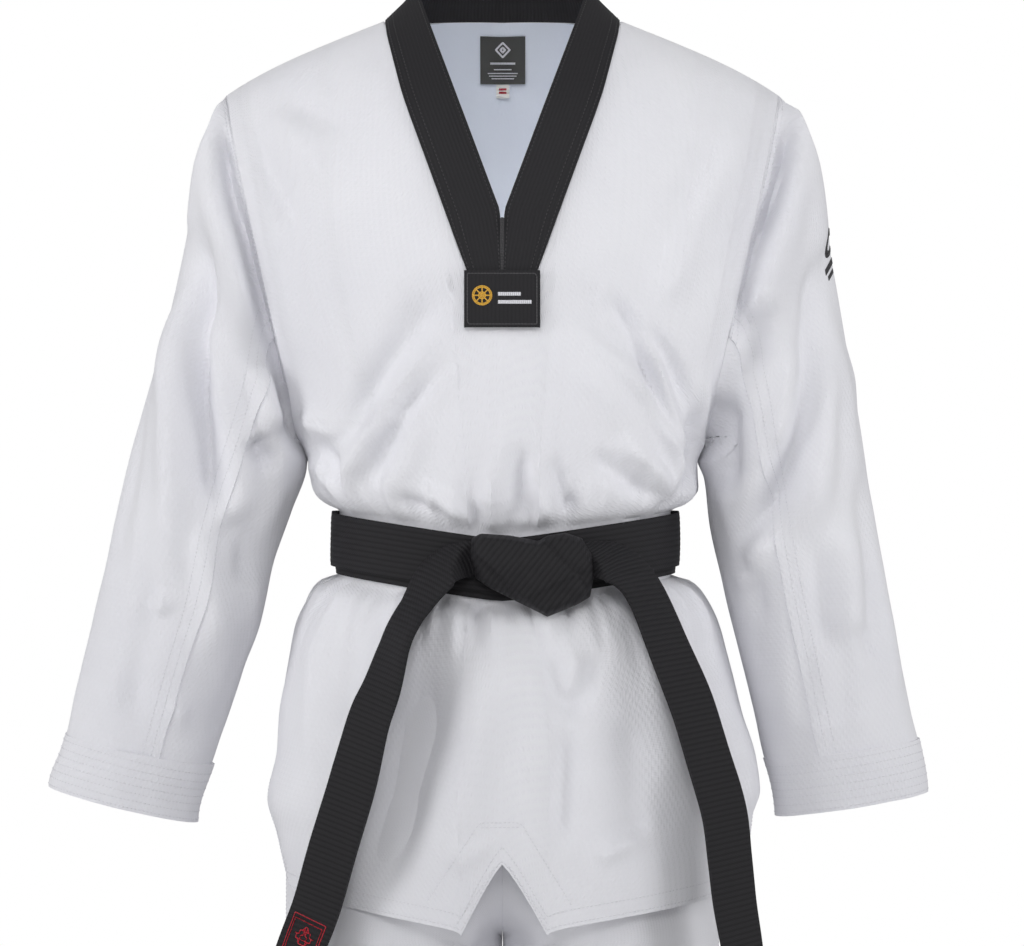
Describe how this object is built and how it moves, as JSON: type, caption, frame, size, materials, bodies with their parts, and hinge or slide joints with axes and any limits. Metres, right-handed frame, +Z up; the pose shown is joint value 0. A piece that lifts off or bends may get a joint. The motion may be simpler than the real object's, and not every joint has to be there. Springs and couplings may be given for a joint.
{
  "type": "martial arts uniform",
  "caption": "White cotton V-neck taekwondo uniform with black collar and tied black belt: jacket and drawstring trousers hanging as if worn.",
  "frame": {"origin": "the point between the wearer's shoulders that carries the jacket, midway between the two shoulder seams and 6 mm below the shoulder ends of the collar", "axes": "+X the wearer's left, -Y the front, +Z up"},
  "size_m": [0.6842, 0.2494, 1.425],
  "materials": {
    "cotton_cloth": "matte",
    "black_band": "matte",
    "belt_webbing": "matte",
    "woven_label": "matte",
    "white_trim": "matte",
    "red_thread": "matte",
    "eyelet_brass": "polished"
  },
  "bodies": {
    "garment": {"jacket_front": "cotton_cloth", "jacket_back": "cotton_cloth", "collar_left": "black_band", "collar_right": "black_band", "collar_back": "black_band", "chest_tab": "black_band", "neck_label": "woven_label", "size_tab": "white_trim", "front_notch_facing": "cotton_cloth", "back_notch_facing": "cotton_cloth", "left_vent_facing": "cotton_cloth", "right_vent_facing": "cotton_cloth", "belt_inner_turn": "belt_webbing", "belt_outer_turn": "belt_webbing", "belt_knot": "belt_webbing", "left_trouser_front": "cotton_cloth", "left_trouser_back": "cotton_cloth", "left_leg_hem_band": "cotton_cloth", "right_trouser_front": "cotton_cloth", "right_trouser_back": "cotton_cloth", "right_leg_hem_band": "cotton_cloth", "waistband": "cotton_cloth", "waist_elastic": "white_trim", "left_drawstring_eyelet": "eyelet_brass", "right_drawstring_eyelet": "eyelet_brass"},
    "left_arm": {"left_sleeve": "cotton_cloth", "left_underarm_panel": "cotton_cloth", "left_cuff_band": "cotton_cloth", "sleeve_emblem": "woven_label"},
    "right_arm": {"right_sleeve": "cotton_cloth", "right_underarm_panel": "cotton_cloth", "right_cuff_band": "cotton_cloth"},
    "left_tail": {"belt_tail_left": "belt_webbing"},
    "right_tail": {"belt_tail_right": "belt_webbing", "belt_end_box": "red_thread"}
  },
  "joints": [
    {"name": "left_sleeve_lift", "type": "hinge", "parent": "garment", "child": "left_arm", "pos_m": [0.215, 0, -0.052], "axis": [0, -1, 0], "range_deg": [0, 75]},
    {"name": "right_sleeve_lift", "type": "hinge", "parent": "garment", "child": "right_arm", "pos_m": [-0.215, 0, -0.052], "axis": [0, 1, 0], "range_deg": [0, 75]},
    {"name": "left_belt_tail_swing", "type": "hinge", "parent": "garment", "child": "left_tail", "pos_m": [0, -0.1, -0.388], "axis": [-1, 0, 0], "range_deg": [0, 60]},
    {"name": "right_belt_tail_swing", "type": "hinge", "parent": "garment", "child": "right_tail", "pos_m": [0, -0.1, -0.388], "axis": [-1, 0, 0], "range_deg": [0, 60]}
  ]
}
